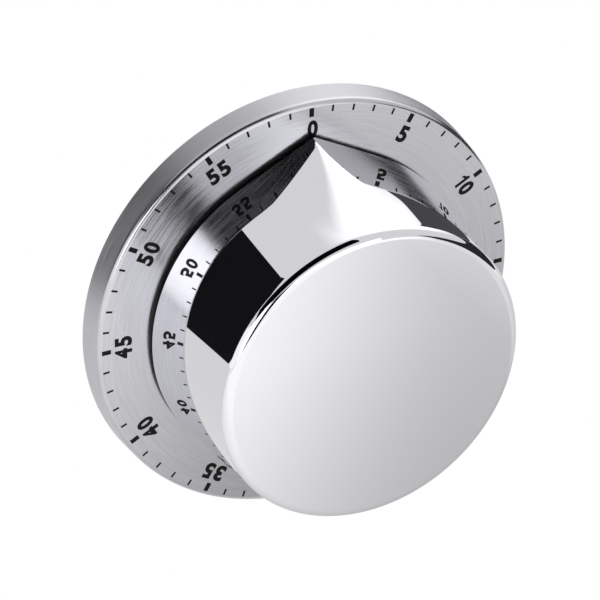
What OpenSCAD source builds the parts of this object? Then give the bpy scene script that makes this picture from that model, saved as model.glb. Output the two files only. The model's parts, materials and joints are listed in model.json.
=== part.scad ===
// Wind-up kitchen timer, 60 minutes, held to a steel front by a magnet.
// Frame: +Z up through the zero mark, the front looks along -Y, and the origin is the centre of the
// magnet's back face. Each sub-part is drawn in a local frame, x to the right, y up and z out from
// the wall towards the front, and hang() turns that into the frame above.

/* [Dial] */
// Diameter of the steel dial at the back edge of its rim
dial_d = 79; // [66:0.5:96]
// Distance from the wall to the dial's printed face
dial_front = 7; // [6.6:0.1:8.4]
// Depth of the dial's drawn rim
dial_rim = 5.3; // [3:0.1:6]
// Thickness of the dial's steel sheet
dial_wall = 0.6; // [0.4:0.05:0.8]
// Radius of the dial's front edge
dial_edge = 0.9; // [0.7:0.05:1.4]
// How much narrower the rim is at its front than at its back, on the radius
dial_draft = 0.35; // [0:0.05:0.8]

/* [Knob] */
// Radius of the knob's round foot
knob_base_r = 29.5; // [28.6:0.1:31.4]
// Radius of the knob just behind its front edge
knob_front_r = 27.5; // [27:0.1:29.5]
// Distance from the dial's face to the knob's front face
knob_h = 25.4; // [24.6:0.1:32]
// Reach of the pointer's tip from the axis
knob_tip = 33.2; // [31.5:0.1:38]
// Radius of the pointer's tip
knob_tip_round = 0.8; // [0.4:0.05:1.2]
// Radius of the knob's front edge
knob_edge = 1.7; // [0.8:0.1:2.4]
// Wall of the knob's shell
knob_wall = 1.6; // [1.2:0.1:2]

/* [Rear] */
// Radius of the magnet
magnet_r = 12; // [9:0.5:13]
// Thickness of the magnet
magnet_t = 2.4; // [2:0.1:3]
// Thickness of the steel keeper in front of the magnet
keeper_t = 0.6; // [0.4:0.1:1]
// Distance from the wall to the rear cover
cover_set = 0.6; // [0.3:0.1:1]
// Thickness of the rear cover's floor
cover_t = 1.4; // [1.2:0.1:1.8]
// Thickness of the rear cover's side wall
cover_side = 1.6; // [1.2:0.1:2.4]
// Radius of one sound hole
sound_r = 0.8; // [0.5:0.05:1]

/* [Bell] */
// Outer radius of the bell
bell_r = 15; // [12:0.1:15.4]
// Height of the bell's cup
bell_h = 3.8; // [3:0.1:4.5]
// Thickness of the bell's metal
bell_t = 0.7; // [0.4:0.1:1]

/* [Movement plates] */
// Radius of both plates
plate_r = 22.6; // [22.4:0.1:23]
// Thickness of both plates
plate_t = 1; // [0.8:0.1:1.4]
// Free distance between the plates
plate_gap = 13; // [12.8:0.1:13.6]
// Radius of the circle on which the pillars and posts stand
pillar_ring = 20.4; // [20:0.1:20.8]
// Radius of a pillar
pillar_r = 1.4; // [1:0.1:1.7]

/* [Wheel train] */
// Teeth of the main wheel
main_teeth = 60; // [50:1:62]
// Tooth module of the main wheel and of the pinions it drives
main_module = 0.4; // [0.33:0.01:0.41]
// Teeth of the second pinion
second_leaves = 10; // [9:1:12]
// Teeth of the second wheel
second_teeth = 50; // [42:1:52]
// Tooth module of the second wheel and the third pinion
second_module = 0.3; // [0.25:0.01:0.31]
// Teeth of the third pinion
third_leaves = 10; // [9:1:12]
// Teeth of the third wheel
third_teeth = 40; // [34:1:42]
// Tooth module of the third wheel and the escape pinion
third_module = 0.28; // [0.25:0.01:0.3]
// Teeth of the escape pinion
escape_leaves = 8; // [8:1:10]
// Teeth of the escape wheel
escape_teeth = 20; // [15:1:24]
// Radius of the escape wheel over its teeth
escape_r = 5; // [4:0.1:5.3]
// Teeth of the strike pinion
strike_leaves = 12; // [10:1:14]
// Points of the strike star
star_points = 8; // [6:1:10]
// Radius of the strike star over its points
star_r = 4.6; // [3.8:0.1:5]
// Radius of the balance wheel
balance_r = 6.2; // [5:0.1:6.4]

/* [Arbors and pivots] */
// Radius of the main arbor between the plates
main_arbor_r = 2; // [1.6:0.1:2.2]
// Radius of the main arbor in its bushings and in the knob
main_pivot_r = 1.5; // [1.2:0.05:1.5]
// Radius of a train arbor
arbor_r = 0.6; // [0.5:0.05:0.75]
// Radius of a train arbor's pivots
pivot_r = 0.35; // [0.25:0.01:0.45]

/* [Mainspring] */
// Thickness of the spring strip
spring_t = 0.25; // [0.15:0.01:0.3]
// Width of the spring strip
spring_w = 4.5; // [3:0.1:5]
// Turns of the spring
spring_turns = 6; // [3:1:8]
// Radius of the spring's outermost turn
spring_r = 9; // [7:0.1:9.4]

/* [Fits] */
// Radial clearance of a shaft that turns in a hole
run_fit = 0.05; // [0.02:0.01:0.1]
// Air between the knob's foot and the dial
knob_gap = 1.05; // [0.3:0.05:1.4]
// Air between neighbouring pieces that move apart
air = 0.4; // [0.3:0.05:0.5]
// Amount by which each gear tooth is thinned, along the pitch circle
tooth_play = 0.03; // [0.02:0.005:0.05]

/* [Hidden] */
$fn = 96;
cut = 0.5;

// Places along z, from the wall to the front
cover_floor = cover_set + cover_t;
pocket_wall = 0.8;
pocket_top = magnet_t + keeper_t + pocket_wall;
bell_post_h = 0.8;
bell_z = pocket_top + bell_post_h;
back_z = bell_z + bell_h + 0.8;
back_face = back_z + plate_t;
front_z = back_face + plate_gap;
front_face = front_z + plate_t;
dial_under = dial_front - dial_wall;
knob_z = dial_front + knob_gap;
knob_top = dial_front + knob_h;
knob_ceiling = knob_top - knob_wall;
// Angles of the points around the knob's loops, closest together at the tip
bow_side = 48;
bow_angles = [for (i = [1 - bow_side:bow_side]) sign(i) * 180 * pow(i / bow_side, 2)];

// Levels between the plates
level_second = back_face + 0.8;
level_main = back_face + 2.6;
level_ratchet = back_face + 4.2;
level_third = back_face + 6;
level_spring = back_face + 5.7;
level_escape = back_face + 8.6;
level_balance = back_face + 11;
wheel_t = 0.8;
main_wheel_t = 1.2;
pinion_spare = 0.4;

// Layout of the arbors, as seen from the front
function polar(r, a) = [r * cos(a), r * sin(a)];
function opening(r1, r2, d) = acos((r1 * r1 + r2 * r2 - d * d) / (2 * r1 * r2));
second_ring = main_module * (main_teeth + second_leaves) / 2;
third_ring = 16;
escape_ring = 15.5;
strike_ring = main_module * (main_teeth + strike_leaves) / 2;
second_third = second_module * (second_teeth + third_leaves) / 2;
third_escape = third_module * (third_teeth + escape_leaves) / 2;
escape_staff = escape_r + 2.6;
second_a = 150;
third_a = second_a + opening(second_ring, third_ring, second_third);
escape_a = third_a + opening(third_ring, escape_ring, third_escape);
staff_a = escape_a + opening(escape_ring, escape_ring, escape_staff);
strike_a = 55;
hammer_a = 20;
hammer_ring = 17.5;
lever_a = 300;
lever_ring = 15.5;
second_at = polar(second_ring, second_a);
third_at = polar(third_ring, third_a);
escape_at = polar(escape_ring, escape_a);
staff_at = polar(escape_ring, staff_a);
strike_at = polar(strike_ring, strike_a);
hammer_at = polar(hammer_ring, hammer_a);
lever_at = polar(lever_ring, lever_a);
pillar_angles = [0, 82, 124, 268];
post_angles = [100, 220, 340];

// Gear teeth: involute flanks at a pressure angle of 20 degrees
press = 20;
wheel_tip = 0.65;
wheel_root = 1.15;
leaf_tip = 0.9;
leaf_root = 1;
leaf_undercut = 0.75;
function inv(a) = tan(a) * 180 / PI - a;
function roll(base, r) = r > base ? acos(base / r) : 0;
function half_tooth(z, m, r) =
    (90 - tooth_play / m * 180 / PI / 2) / z + inv(press) - inv(roll(z * m / 2 * cos(press), r));
// Angle that puts a gear in mesh with its driver, which has a tooth at turn_1 and z_1 teeth
function mesh_turn(turn_1, z_1, z_2, dir) = dir + 180 + ((dir - turn_1) * z_1 / 360 - 0.5) * 360 / z_2;
second_turn = mesh_turn(0, main_teeth, second_leaves, second_a);
strike_turn = mesh_turn(0, main_teeth, strike_leaves, strike_a);
function heading(p, q) = atan2(q.y - p.y, q.x - p.x);
third_turn = mesh_turn(second_turn, second_teeth, third_leaves, heading(second_at, third_at));
escape_turn = mesh_turn(third_turn, third_teeth, escape_leaves, heading(third_at, escape_at));

// Rear cover and carrier
cover_r = dial_d / 2 - dial_wall - dial_draft - 0.15;
cover_step = dial_front - dial_edge - 0.3;
step_in = dial_edge - dial_wall + 0.3;
cover_round = 0.8;
pocket_r = magnet_r + pocket_wall;
sound_rings = [[pocket_r + 1.6, 30], [pocket_r + 4, 36]];
carrier_out = plate_r + 4.8;
carrier_in = plate_r + 1.6;
carrier_floor_t = 1.2;
post_r = 2;

// Screws: the same thread everywhere, a flat head, and a blind bore as deep as the thread
screw_r = 0.75;
screw_grip = 2.8;
head_r = 1.5;
head_h = 0.7;
slot_w = 0.3;
slot_depth = 0.35;
dial_screw_ring = (carrier_out + carrier_in) / 2;
dial_screw_angles = [40, 160, 280];

// Plates, pillars and bushings
stud_r = 0.8;
nut_h = 1.1;
nut_r = 1.7;
bush_r = 2.8;
bush_proud = 0.3;
shoulder = 0.1;

// Bell
bell_flare = 1.2;
bell_post_r = 3;

// Knob insert and what it turns
insert_t = 1.2;
insert_r = knob_front_r - knob_wall - 0.8;
boss_r = 4.5;
rib_w = 1;
flat_depth = 0.4;
cam_r = 8;
cam_t = 1;
cam_z = front_face + air;
cam_notch_a = 250;
cam_notch_w = 1.6;
cam_notch_depth = 1.4;
clip_r = 3;
clip_t = 0.5;
boss_z = cam_z + cam_t + 1.4;
arbor_end = knob_ceiling - insert_t;

// Ratchet and click on the main wheel
ratchet_r = 6;
ratchet_teeth = 20;
ratchet_depth = 0.8;
ratchet_t = 0.9;
click_at = polar(9.4, 75);
click_beak_at = polar(ratchet_r + 0.5, 112);
click_eye_r = 1;
click_w = 0.7;
click_pin_r = 0.5;
click_spring_foot_at = polar(10.6, 118);
click_spring_tip_at = polar(9.2, 96);
main_window_r = 1.6;
main_window_ring = 8.2;

// Escapement
escape_depth = 0.9;
pallet_reach = 3;
pallet_spread = 50;
pallet_pin_r = 0.3;
pallet_t = 0.6;
balance_rim = 1.1;
balance_arm_w = 1;

// Hammer
hammer_t = 0.8;
hammer_w = 1.6;
hammer_eye_r = 1.6;
hammer_z = back_z - air - hammer_t;
hammer_head_r = 1.6;
hammer_head_z = bell_z + 0.8;
hammer_head_at = polar(bell_r + hammer_head_r + air, 60);
hammer_tail = norm(hammer_at - strike_at) - star_r - 0.3;
star_depth = 1.6;

// Stop lever
lever_t = 0.8;
lever_w = 1.6;
lever_eye_r = 1.8;
lever_nose_r = 0.5;
lever_lift = 0.15;
lever_finger = 2.4;
lever_tail = 3.4;
lever_nose_at = polar(cam_r + lever_lift + lever_nose_r, cam_notch_a);
lever_knee_at = polar(cam_r + lever_lift + lever_finger, cam_notch_a);
lever_tail_at = lever_at + polar(lever_tail, heading(lever_nose_at, lever_at));
lever_z = cam_z + (cam_t - lever_t) / 2;
lever_screw_r = 0.8;
lever_head_h = 0.6;
leaf_t = 0.3;
leaf_foot_at = polar(18.6, 322);
leaf_gap = 1.4;
leaf_end_at = lever_tail_at + polar(leaf_gap, heading(lever_at, lever_tail_at) + 90);

// ---- Shared shapes ----

module hang() {
    rotate([90, 0, 0]) children();
}

module at(p, z = 0) {
    translate([p.x, p.y, z]) children();
}

module tube(r_out, r_in, h) {
    difference() {
        cylinder(r = r_out, h = h);
        translate([0, 0, -cut]) cylinder(r = r_in, h = h + 2 * cut);
    }
}

// Outline of one gear: up one flank of each tooth, root to tip, and down the other
module gear_outline(z, m, radii, root_share) {
    last = len(radii) - 1;
    half = [for (i = [0:last]) half_tooth(z, m, radii[i]) * (i == 0 ? root_share : 1)];
    polygon([
        for (k = [0:z - 1]) each concat(
            [for (i = [0:last]) polar(radii[i], k * 360 / z - half[i])],
            [for (i = [last:-1:0]) polar(radii[i], k * 360 / z + half[i])]
        )
    ]);
}

module wheel(z, m, h, bore_r) {
    pitch_r = z * m / 2;
    difference() {
        linear_extrude(h)
            gear_outline(z, m, [pitch_r - wheel_root * m, pitch_r, pitch_r + wheel_tip * m], 1);
        translate([0, 0, -cut]) cylinder(r = bore_r, h = h + 2 * cut);
    }
}

module leaves(z, m, h, bore_r) {
    pitch_r = z * m / 2;
    difference() {
        linear_extrude(h)
            gear_outline(
                z, m, [pitch_r - leaf_root * m, pitch_r * cos(press), pitch_r, pitch_r + leaf_tip * m],
                leaf_undercut
            );
        translate([0, 0, -cut]) cylinder(r = bore_r, h = h + 2 * cut);
    }
}

// Windows that leave a wheel with four spokes between its hub and its rim
module windows(hub_r, rim_r, spoke_w, h) {
    difference() {
        translate([0, 0, -cut]) tube(rim_r, hub_r, h + 2 * cut);
        for (a = [0, 90])
            rotate(a) translate([-rim_r - 1, -spoke_w / 2, -2 * cut])
                cube([2 * rim_r + 2, spoke_w, h + 4 * cut]);
    }
}

// Arbor from plate to plate, with a thin pivot in each plate
module arbor(p) {
    at(p, back_face + shoulder) cylinder(r = arbor_r, h = plate_gap - 2 * shoulder);
    at(p, back_z + shoulder) cylinder(r = pivot_r, h = plate_gap + 2 * plate_t - 2 * shoulder);
}

// Flat strip from p to q, square at both ends
module strip(p, q, w, h) {
    at(p) rotate(heading(p, q)) translate([0, -w / 2, 0]) cube([norm(q - p), w, h]);
}

// Wheel with saw teeth, each with one radial side
module saw_wheel(z, r, depth, h, bore_r) {
    difference() {
        linear_extrude(h)
            polygon([
                for (k = [0:z - 1])
                    each [polar(r, k * 360 / z), polar(r - depth, (k + 0.25) * 360 / z)]
            ]);
        translate([0, 0, -cut]) cylinder(r = bore_r, h = h + 2 * cut);
    }
}

module plate_blank(z) {
    translate([0, 0, z]) cylinder(r = plate_r, h = plate_t);
}

module pivot_holes(z) {
    for (p = [second_at, third_at, escape_at, staff_at, strike_at])
        at(p, z - cut) cylinder(r = pivot_r + run_fit, h = plate_t + 2 * cut);
}

module around(ring, angles) {
    for (a = angles) at(polar(ring, a)) children();
}

// ---- Case ----

module dial_shell() {
    steps = 6;
    out_r = dial_d / 2;
    edge_r = out_r - dial_draft;
    hole_r = carrier_in;
    in_edge = dial_edge - dial_wall;
    color("gainsboro") hang() difference() {
        rotate_extrude() polygon(concat(
            [[hole_r, dial_under], [hole_r, dial_front]],
            [for (i = [0:steps]) let (a = 90 - i * 90 / steps)
                [edge_r - dial_edge + dial_edge * cos(a), dial_front - dial_edge + dial_edge * sin(a)]],
            [[out_r, dial_front - dial_rim], [out_r - dial_wall, dial_front - dial_rim]],
            [for (i = [0:steps]) let (a = i * 90 / steps)
                [edge_r - dial_edge + in_edge * cos(a), dial_front - dial_edge + in_edge * sin(a)]]
        ));
        around(dial_screw_ring, dial_screw_angles) translate([0, 0, dial_under - cut])
            cylinder(r = head_r, h = dial_wall + 2 * cut);
    }
}

module rear_cover() {
    steps = 6;
    color([0.09, 0.09, 0.1]) hang() difference() {
        union() {
            rotate_extrude() polygon(concat(
                [[0, cover_floor], [0, cover_set]],
                [for (i = [0:steps]) let (a = -90 + i * 90 / steps)
                    [cover_r, cover_set] + cover_round * [cos(a) - 1, sin(a) + 1]],
                [
                    [cover_r, cover_step], [cover_r - step_in, cover_step], [cover_r - step_in, dial_under],
                    [cover_r - cover_side, dial_under], [cover_r - cover_side, cover_floor]
                ]
            ));
            translate([0, 0, cover_set]) cylinder(r = pocket_r, h = pocket_top - cover_set);
        }
        translate([0, 0, cover_set - cut]) cylinder(r = magnet_r, h = magnet_t + keeper_t - cover_set + cut);
        translate([0, 0, magnet_t]) cylinder(r = screw_r, h = pocket_top);
        for (ring = sound_rings)
            around(ring.x, [for (k = [0:ring.y - 1]) k * 360 / ring.y])
                translate([0, 0, cover_set - cut]) cylinder(r = sound_r, h = cover_t + 2 * cut, $fn = 24);
        around(pillar_ring, post_angles) translate([0, 0, cover_set - cut]) {
            cylinder(r = head_r, h = head_h + cut);
            cylinder(r = screw_r, h = cover_t + 2 * cut);
        }
    }
}

module magnet() {
    color([0.2, 0.2, 0.21]) hang() cylinder(r = magnet_r, h = magnet_t);
}

module keeper_plate() {
    color("silver") hang() translate([0, 0, magnet_t]) tube(magnet_r, screw_r + air, keeper_t);
}

module cover_screws() {
    color([0.15, 0.15, 0.16]) hang() around(pillar_ring, post_angles) translate([0, 0, cover_set])
        difference() {
            union() {
                cylinder(r = head_r, h = head_h);
                cylinder(r = screw_r, h = cover_t + screw_grip);
            }
            for (turn = [0, 90])
                rotate(turn) translate([-head_r * 0.7, -slot_w / 2, -cut])
                    cube([head_r * 1.4, slot_w, cut + slot_depth]);
        }
}

module movement_carrier() {
    color([0.85, 0.85, 0.82]) hang() difference() {
        union() {
            translate([0, 0, cover_floor]) tube(carrier_out, pillar_ring - post_r, carrier_floor_t);
            translate([0, 0, cover_floor]) tube(carrier_out, carrier_in, dial_under - cover_floor);
            around(pillar_ring, post_angles) translate([0, 0, cover_floor])
                cylinder(r = post_r, h = back_z - cover_floor);
        }
        around(pillar_ring, post_angles) {
            translate([0, 0, cover_floor - cut]) cylinder(r = screw_r, h = screw_grip + cut);
            translate([0, 0, back_z - screw_grip]) cylinder(r = screw_r, h = screw_grip + cut);
        }
        for (ring = sound_rings)
            around(ring.x, [for (k = [0:ring.y - 1]) k * 360 / ring.y])
                translate([0, 0, cover_floor - cut])
                    cylinder(r = sound_r, h = carrier_floor_t + 2 * cut, $fn = 24);
        around(dial_screw_ring, dial_screw_angles) translate([0, 0, dial_under - screw_grip])
            cylinder(r = screw_r, h = screw_grip + cut);
    }
}

module dial_screws() {
    color("silver") hang() around(dial_screw_ring, dial_screw_angles) {
        translate([0, 0, dial_under]) cylinder(r = head_r, h = dial_wall - shoulder);
        translate([0, 0, dial_under - screw_grip]) cylinder(r = screw_r, h = screw_grip + shoulder);
    }
}

module plate_screws() {
    color("silver") hang() around(pillar_ring, post_angles) {
        translate([0, 0, back_face]) cylinder(r = head_r, h = head_h);
        translate([0, 0, back_z - screw_grip]) cylinder(r = screw_r, h = screw_grip + plate_t + shoulder);
    }
}

// ---- Movement frame ----

module back_plate() {
    color([0.78, 0.75, 0.62]) hang() difference() {
        plate_blank(back_z);
        pivot_holes(back_z);
        at(hammer_at, back_z - cut) cylinder(r = arbor_r + run_fit, h = plate_t + 2 * cut);
        translate([0, 0, back_z - cut]) cylinder(r = bush_r, h = plate_t + 2 * cut);
        around(pillar_ring, pillar_angles) translate([0, 0, back_z - cut])
            cylinder(r = stud_r, h = plate_t + 2 * cut);
        around(pillar_ring, post_angles) translate([0, 0, back_z - cut])
            cylinder(r = screw_r, h = plate_t + 2 * cut);
    }
}

module front_plate() {
    color([0.78, 0.75, 0.62]) hang() difference() {
        plate_blank(front_z);
        pivot_holes(front_z);
        at(hammer_at, front_z - cut) cylinder(r = pivot_r + run_fit, h = plate_t + 2 * cut);
        translate([0, 0, front_z - cut]) cylinder(r = bush_r, h = plate_t + 2 * cut);
        around(pillar_ring, pillar_angles) translate([0, 0, front_z - cut])
            cylinder(r = stud_r, h = plate_t + 2 * cut);
        for (p = [lever_at, leaf_foot_at])
            at(p, front_z - cut) cylinder(r = lever_screw_r, h = plate_t + 2 * cut);
    }
}

module pillars() {
    color("silver") hang() around(pillar_ring, pillar_angles) {
        translate([0, 0, back_face]) cylinder(r = pillar_r, h = plate_gap);
        translate([0, 0, back_z]) cylinder(r = stud_r, h = plate_gap + 2 * plate_t + nut_h + shoulder);
    }
}

module pillar_nuts() {
    color("silver") hang() around(pillar_ring, pillar_angles) translate([0, 0, front_face])
        difference() {
            cylinder(r = nut_r, h = nut_h, $fn = 6);
            translate([0, 0, -cut]) cylinder(r = stud_r, h = nut_h + 2 * cut);
        }
}

module back_bushing() {
    color("goldenrod") hang() translate([0, 0, back_z - bush_proud])
        tube(bush_r, main_pivot_r + run_fit, plate_t + bush_proud);
}

module front_bushing() {
    color("goldenrod") hang() translate([0, 0, front_z])
        tube(bush_r, main_pivot_r + run_fit, plate_t + bush_proud);
}

// ---- Bell ----

module bell() {
    color("lightsteelblue") hang() translate([0, 0, bell_z]) difference() {
        cylinder(r1 = bell_r - bell_flare, r2 = bell_r, h = bell_h);
        translate([0, 0, bell_t])
            cylinder(r1 = bell_r - bell_flare - bell_t, r2 = bell_r - bell_t, h = bell_h);
        translate([0, 0, -cut]) cylinder(r = screw_r, h = bell_t + 2 * cut);
    }
}

module bell_post() {
    color("goldenrod") hang() translate([0, 0, pocket_top]) tube(bell_post_r, screw_r, bell_post_h);
}

module bell_screw() {
    color("silver") hang() {
        translate([0, 0, bell_z + bell_t]) cylinder(r = head_r, h = head_h);
        translate([0, 0, magnet_t + shoulder])
            cylinder(r = screw_r, h = bell_z + bell_t - magnet_t);
    }
}

// ---- Mainspring ----

// Flat spiral that ends in a straight tail and a loop around the first pillar
module mainspring() {
    inner_r = main_arbor_r + air + spring_t;
    per_turn = 20;
    steps = spring_turns * per_turn;
    tail_y = -pillar_r - run_fit - spring_t;
    function coil_r(i) = inner_r + (spring_r - inner_r) * i / steps;
    end_x = sqrt(pow(spring_r, 2) - pow(tail_y, 2));
    end_a = atan2(tail_y, end_x);
    color("slategray") hang() translate([0, 0, level_spring]) {
        linear_extrude(spring_w) polygon(concat(
            [for (i = [0:steps]) polar(coil_r(i), end_a + (i - steps) * 360 / per_turn)],
            [[pillar_ring, tail_y], [pillar_ring, tail_y + spring_t], [end_x - 0.1, tail_y + spring_t]],
            [for (i = [steps - 1:-1:0]) polar(coil_r(i) - spring_t, end_a + (i - steps) * 360 / per_turn)]
        ));
        translate([pillar_ring, 0, 0])
            tube(pillar_r + run_fit + spring_t, pillar_r + run_fit, spring_w);
    }
}

// ---- Knob and main arbor ----

// Distance out to the line around a disc and a smaller nose disc above it, a degrees from the top
function bow_reach(a, disc_r, nose_r, nose_y) =
    let (turn = acos(min(1, (disc_r - nose_r) / max(nose_y, cut / 1000))))
    a >= turn ? disc_r
        : a >= atan2(nose_r * sin(turn), nose_y + nose_r * cos(turn)) ? disc_r / cos(turn - a)
        : nose_y * cos(a) + sqrt(pow(nose_r, 2) - pow(nose_y * sin(a), 2));

// Loop of the flank at a share of its height: upwards the bow sinks away and its nose grows wide
function flank_loop(base_r, tip, tip_round, top_r, z0, z1, share) =
    let (
        fade = 1.5,
        disc_r = base_r + (top_r - base_r) * share,
        nose_share = tip_round / base_r,
        nose_r = disc_r * (nose_share + (1 - nose_share) * pow(share, fade)),
        nose_y = disc_r + (tip - base_r) * pow(1 - share, fade) - nose_r
    )
    [for (a = bow_angles) let (reach = bow_reach(abs(a), disc_r, nose_r, nose_y))
        [reach * sin(a), reach * cos(a), z0 + (z1 - z0) * share]];

// Loop of the rounded front edge, tilt degrees round from the flank towards the face
function edge_loop(front_r, edge, z1, tilt) =
    let (r = front_r - edge + edge * cos(tilt))
    [for (a = bow_angles) [r * sin(a), r * cos(a), z1 - edge + edge * sin(tilt)]];

// All loops of a pointed round body from its foot to the end of its rounded front edge
function knob_loops(base_r, tip, tip_round, front_r, edge, z0, z1, levels) = concat(
    [for (k = [0:levels]) flank_loop(base_r, tip, tip_round, front_r, z0, z1 - edge, k / levels)],
    [for (tilt = [22.5:22.5:90]) edge_loop(front_r, edge, z1, tilt)]
);

// Pointed round shell, closed in front and open at the foot: one skin from the cavity to the face
module knob_shell() {
    outer = knob_loops(
        knob_base_r, knob_tip, knob_tip_round, knob_front_r, knob_edge, knob_z, knob_top, 8
    );
    inner = knob_loops(
        knob_base_r - knob_wall, knob_tip - 2 * knob_wall, knob_tip_round,
        knob_front_r - knob_wall, 0.4, knob_z, knob_ceiling, 5
    );
    loops = concat([for (k = [len(inner) - 1:-1:0]) inner[k]], outer);
    n = len(bow_angles);
    last = (len(loops) - 1) * n;
    color("whitesmoke") hang() polyhedron(
        points = [for (loop = loops) each loop],
        faces = concat(
            [[for (i = [0:n - 1]) n - 1 - i], [for (i = [0:n - 1]) last + i]],
            [for (k = [0:len(loops) - 2], i = [0:n - 1]) let (a = k * n, j = (i + 1) % n)
                each [[a + i, a + j, a + n + j], [a + i, a + n + j, a + n + i]]]
        )
    );
}

// Round shaft end with one flat, which turns what is pushed onto it
module d_shaft(r, h) {
    difference() {
        cylinder(r = r, h = h);
        translate([-r, r - flat_depth, -cut]) cube([2 * r, r, h + 2 * cut]);
    }
}

module knob_insert() {
    rib_h = knob_ceiling - insert_t - boss_z;
    color([0.2, 0.2, 0.22]) hang() difference() {
        union() {
            translate([0, 0, knob_ceiling - insert_t]) cylinder(r = insert_r, h = insert_t);
            translate([0, 0, boss_z]) cylinder(r = boss_r, h = knob_ceiling - boss_z);
            for (a = [0:60:300])
                rotate(a) translate([boss_r - rib_w / 2, -rib_w / 2, boss_z + rib_h / 2])
                    cube([insert_r - boss_r - rib_w, rib_w, (rib_h + insert_t) / 2]);
        }
        translate([0, 0, boss_z - cut]) d_shaft(main_pivot_r, arbor_end - boss_z + cut);
    }
}

module main_arbor() {
    color("silver") hang() {
        translate([0, 0, back_z - bush_proud])
            cylinder(r = main_pivot_r, h = plate_t + bush_proud + 2 * shoulder);
        translate([0, 0, back_face + shoulder]) cylinder(r = main_arbor_r, h = plate_gap - 2 * shoulder);
        translate([0, 0, front_z - 2 * shoulder])
            cylinder(r = main_pivot_r, h = cam_z - front_z + 2 * shoulder);
        translate([0, 0, cam_z - shoulder]) d_shaft(main_pivot_r, arbor_end - cam_z + shoulder);
    }
}

module main_wheel() {
    color("goldenrod") hang() translate([0, 0, level_main]) difference() {
        wheel(main_teeth, main_module, main_wheel_t, main_arbor_r);
        at(click_at, -cut) cylinder(r = click_pin_r, h = main_wheel_t + 2 * cut);
        for (a = [150, 195, 240, 285, 330, 15])
            at(polar(main_window_ring, a), -cut) cylinder(r = main_window_r, h = main_wheel_t + 2 * cut);
    }
}

module ratchet_wheel() {
    color("silver") hang() translate([0, 0, level_ratchet])
        saw_wheel(ratchet_teeth, ratchet_r, ratchet_depth, ratchet_t, main_arbor_r);
}

module click_pin() {
    color("silver") hang() {
        at(click_at, level_main) cylinder(r = click_pin_r, h = level_ratchet + ratchet_t - level_main);
        at(click_at, level_ratchet + ratchet_t) cylinder(r = 2 * click_pin_r, h = click_pin_r / 2);
    }
}

// Pawl whose beak stands just off the ratchet's teeth
module click() {
    color("silver") hang() translate([0, 0, level_ratchet]) difference() {
        union() {
            at(click_at) cylinder(r = click_eye_r, h = ratchet_t - shoulder);
            strip(click_at, click_beak_at, click_w, ratchet_t - shoulder);
        }
        at(click_at, -cut) cylinder(r = click_pin_r + run_fit, h = ratchet_t + 2 * cut);
    }
}

// Wire that presses the click's back, with its foot on the main wheel
module click_spring() {
    foot_top = level_ratchet + ratchet_t / 2 + spring_t;
    color("silver") hang() {
        at(click_spring_foot_at, level_main + main_wheel_t)
            cylinder(r = click_pin_r, h = foot_top - level_main - main_wheel_t);
        translate([0, 0, foot_top - 2 * spring_t])
            strip(click_spring_foot_at, click_spring_tip_at, spring_t, 2 * spring_t);
    }
}

module zero_cam() {
    color("silver") hang() translate([0, 0, cam_z]) difference() {
        cylinder(r = cam_r, h = cam_t);
        translate([0, 0, -cut]) d_shaft(main_pivot_r, cam_t + 2 * cut);
        rotate(cam_notch_a) translate([cam_r - cam_notch_depth, -cam_notch_w / 2, -cut])
            cube([cam_notch_depth + 1, cam_notch_w, cam_t + 2 * cut]);
    }
}

module cam_clip() {
    color("dimgray") hang() translate([0, 0, cam_z + cam_t + shoulder]) difference() {
        tube(clip_r, main_pivot_r, clip_t);
        translate([-clip_r / 3, 0, -cut]) cube([clip_r * 2 / 3, clip_r + cut, clip_t + 2 * cut]);
    }
}

// ---- Wheel train ----

module second_arbor() {
    color("silver") hang() arbor(second_at);
}

module second_wheel() {
    hub = arbor_r + 1;
    rim = second_teeth * second_module / 2 - 1.3;
    color("goldenrod") hang() at(second_at, level_second) rotate(second_turn) difference() {
        wheel(second_teeth, second_module, wheel_t, arbor_r);
        windows(hub, rim, 1.2, wheel_t);
    }
}

module second_pinion() {
    color("silver") hang() at(second_at, level_main - pinion_spare) rotate(second_turn)
        leaves(second_leaves, main_module, main_wheel_t + 2 * pinion_spare, arbor_r);
}

module third_arbor() {
    color("silver") hang() arbor(third_at);
}

module third_wheel() {
    hub = arbor_r + 0.8;
    rim = third_teeth * third_module / 2 - 1.2;
    color("goldenrod") hang() at(third_at, level_third) rotate(third_turn) difference() {
        wheel(third_teeth, third_module, wheel_t, arbor_r);
        windows(hub, rim, 1, wheel_t);
    }
}

module third_pinion() {
    color("silver") hang() at(third_at, level_second - pinion_spare) rotate(third_turn)
        leaves(third_leaves, second_module, wheel_t + 2 * pinion_spare, arbor_r);
}

module escape_arbor() {
    color("silver") hang() arbor(escape_at);
}

module escape_wheel() {
    color("goldenrod") hang() at(escape_at, level_escape) rotate(escape_turn)
        saw_wheel(escape_teeth, escape_r, escape_depth, wheel_t - 2 * shoulder, arbor_r);
}

module escape_pinion() {
    color("silver") hang() at(escape_at, level_third - pinion_spare) rotate(escape_turn)
        leaves(escape_leaves, third_module, wheel_t + 2 * pinion_spare, arbor_r);
}

// ---- Balance ----

module balance_staff() {
    color("silver") hang() arbor(staff_at);
}

module balance_wheel() {
    color("goldenrod") hang() at(staff_at, level_balance) {
        tube(balance_r, balance_r - balance_rim, wheel_t);
        difference() {
            union() {
                cylinder(r = 2.5 * arbor_r, h = wheel_t);
                translate([-balance_r + balance_rim / 2, -balance_arm_w / 2, shoulder])
                    cube([2 * balance_r - balance_rim, balance_arm_w, wheel_t - 2 * shoulder]);
            }
            translate([0, 0, -cut]) cylinder(r = arbor_r, h = wheel_t + 2 * cut);
        }
    }
}

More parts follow.
